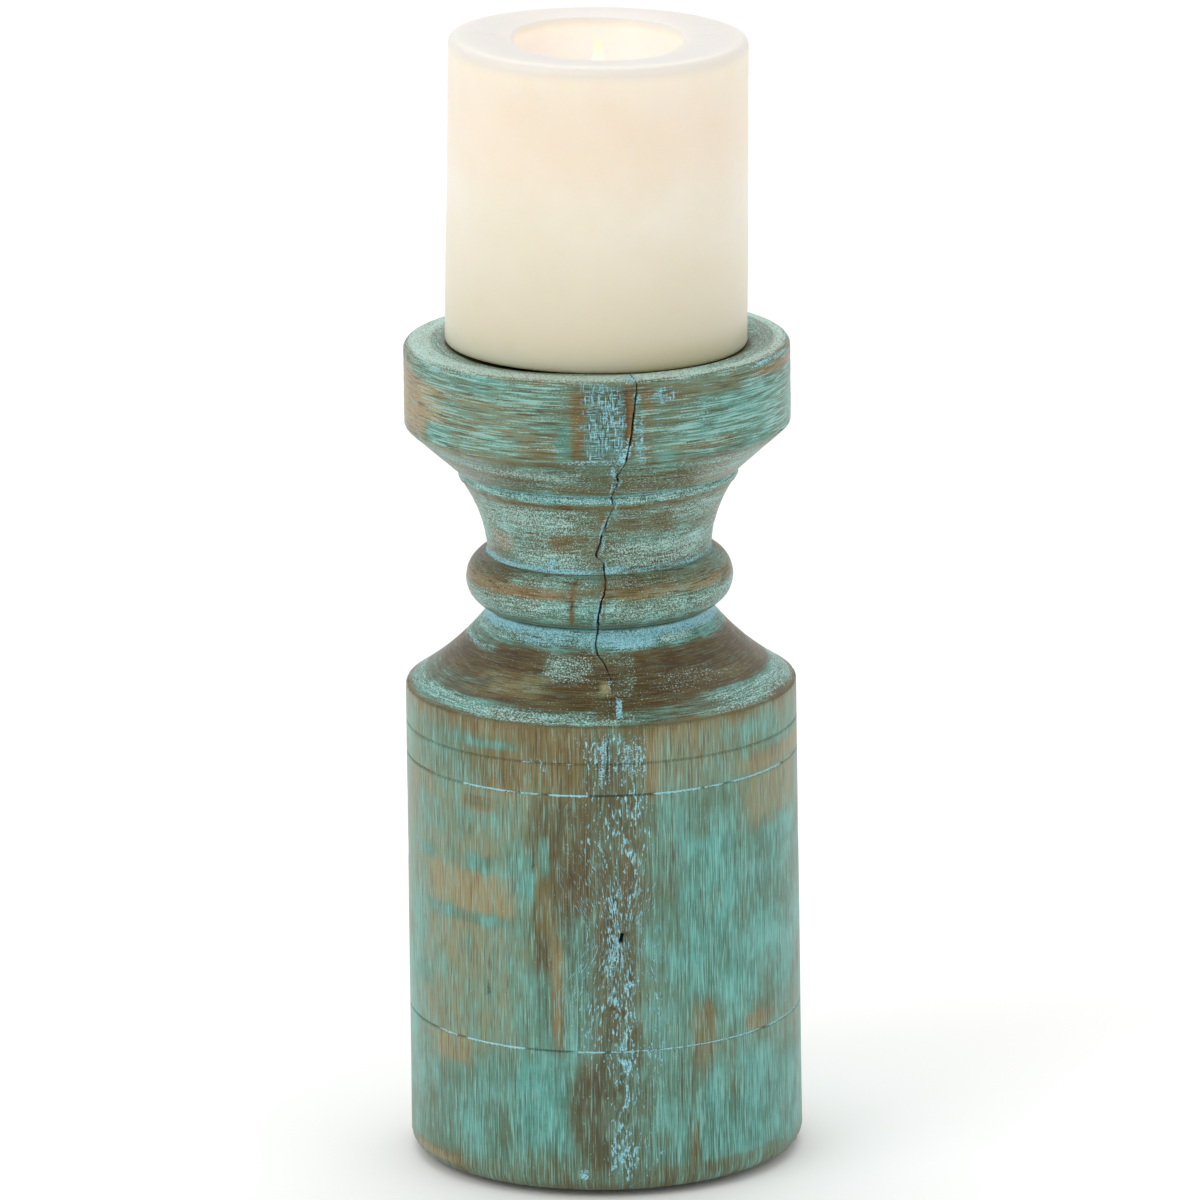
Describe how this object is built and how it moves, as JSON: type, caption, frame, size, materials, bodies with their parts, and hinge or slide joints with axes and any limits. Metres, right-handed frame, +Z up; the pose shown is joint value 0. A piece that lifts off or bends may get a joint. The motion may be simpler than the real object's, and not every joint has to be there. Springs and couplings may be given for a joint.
{
  "type": "wooden candlestick",
  "caption": "Turned wooden candlestick with distressed turquoise paint, a ringed neck and a shallow-dished cup that carries a lift-out pillar candle.",
  "frame": {"origin": "on the supporting surface, under the middle of the foot", "axes": "+Z up along the turned axis, front towards -Y, +X to the right seen from the front"},
  "size_m": [0.1004, 0.1004, 0.2896],
  "materials": {
    "painted_wood": "turned wood with worn turquoise paint, matt",
    "blackened_steel": "thin blackened sheet steel, satin",
    "zinc_screw": "zinc-plated wood screw",
    "brown_felt": "pressed felt",
    "ivory_wax": "ivory candle wax, soft satin, translucent",
    "charred_cotton": "braided cotton, charred at the tip",
    "tin_plate": "stamped tin plate"
  },
  "bodies": {
    "stand": {"turned_wood_stand": "painted_wood", "drip_pan": "blackened_steel", "pan_screw": "zinc_screw", "felt_pad_1": "brown_felt", "felt_pad_2": "brown_felt", "felt_pad_3": "brown_felt", "felt_pad_4": "brown_felt"},
    "candle": {"pillar_wax": "ivory_wax", "wick": "charred_cotton", "wick_tab": "tin_plate"}
  },
  "joints": [
    {"name": "candle_lift", "type": "slide", "parent": "stand", "child": "candle", "axis": [0, 0, 1], "range_m": [0, 0.05]}
  ]
}
